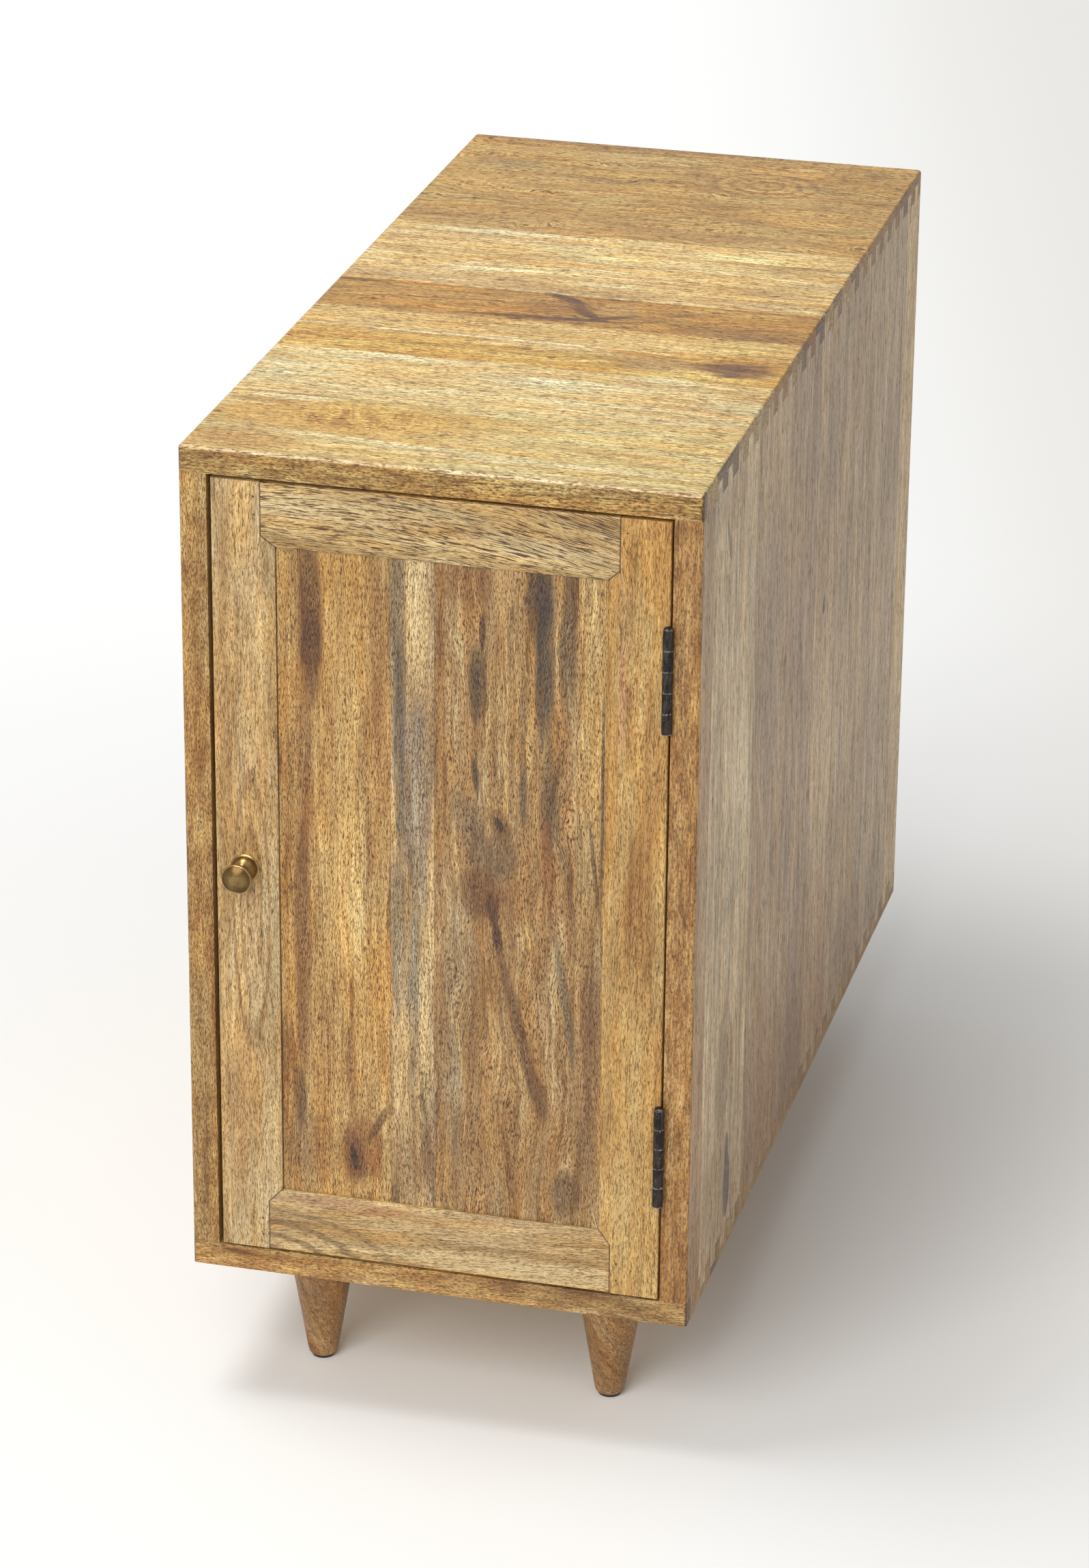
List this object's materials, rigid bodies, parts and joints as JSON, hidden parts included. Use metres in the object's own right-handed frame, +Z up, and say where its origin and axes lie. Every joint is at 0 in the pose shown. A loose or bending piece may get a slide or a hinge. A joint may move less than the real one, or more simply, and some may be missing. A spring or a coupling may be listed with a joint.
{
  "type": "side table with door",
  "caption": "Tall narrow side table: a finger-jointed wooden case with an inset framed door on butt hinges, a round knob, a shelf inside and tapered turned legs.",
  "frame": {"origin": "on the floor, under the middle of the table's bounding box", "axes": "+Z up, -Y out of the door's face, +X to the right of someone facing the door"},
  "size_m": [0.306, 0.6686, 0.615],
  "materials": {
    "case_wood": "clear satin lacquer on open-pored hardwood",
    "door_wood": "clear satin lacquer on open-pored hardwood",
    "panel_wood": "clear satin lacquer on streaked hardwood",
    "leg_wood": "clear satin lacquer, turned",
    "back_wood": "thin plywood, lightly sealed",
    "antique_brass": "antique, worn and brushed",
    "hinge_steel": "blackened, worn bright on the edges",
    "zinc_steel": "zinc plated",
    "pin_steel": "dull, darkened",
    "catch_plastic": "moulded, brown",
    "magnet": "sintered ferrite",
    "glide_plastic": "hard black plastic"
  },
  "bodies": {
    "cabinet": {"top_board": "case_wood", "bottom_board": "case_wood", "left_side_board": "case_wood", "right_side_board": "case_wood", "back_panel": "back_wood", "shelf": "case_wood", "back_screws": "zinc_steel", "shelf_pegs": "zinc_steel", "catch_housing": "catch_plastic", "catch_magnet": "magnet", "catch_pole_plates": "zinc_steel", "catch_screws": "zinc_steel", "hanger_bolts": "zinc_steel", "legs": "leg_wood", "glides": "glide_plastic", "upper_hinge_frame_leaf": "hinge_steel", "upper_hinge_pin": "hinge_steel", "upper_hinge_frame_screws": "hinge_steel", "lower_hinge_frame_leaf": "hinge_steel", "lower_hinge_pin": "hinge_steel", "lower_hinge_frame_screws": "hinge_steel"},
    "door": {"hinge_stile": "door_wood", "latch_stile": "door_wood", "top_rail": "door_wood", "bottom_rail": "door_wood", "door_panel": "panel_wood", "tenon_pins": "pin_steel", "knob": "antique_brass", "knob_screw": "zinc_steel", "strike_plate": "zinc_steel", "strike_screws": "zinc_steel", "upper_hinge_door_leaf": "hinge_steel", "upper_hinge_door_screws": "hinge_steel", "lower_hinge_door_leaf": "hinge_steel", "lower_hinge_door_screws": "hinge_steel"}
  },
  "joints": [
    {"name": "door_hinge", "type": "hinge", "parent": "cabinet", "child": "door", "pos_m": [0.1349, -0.3171, 0.3525], "axis": [0, 0, 1], "range_deg": [0, 175]}
  ]
}
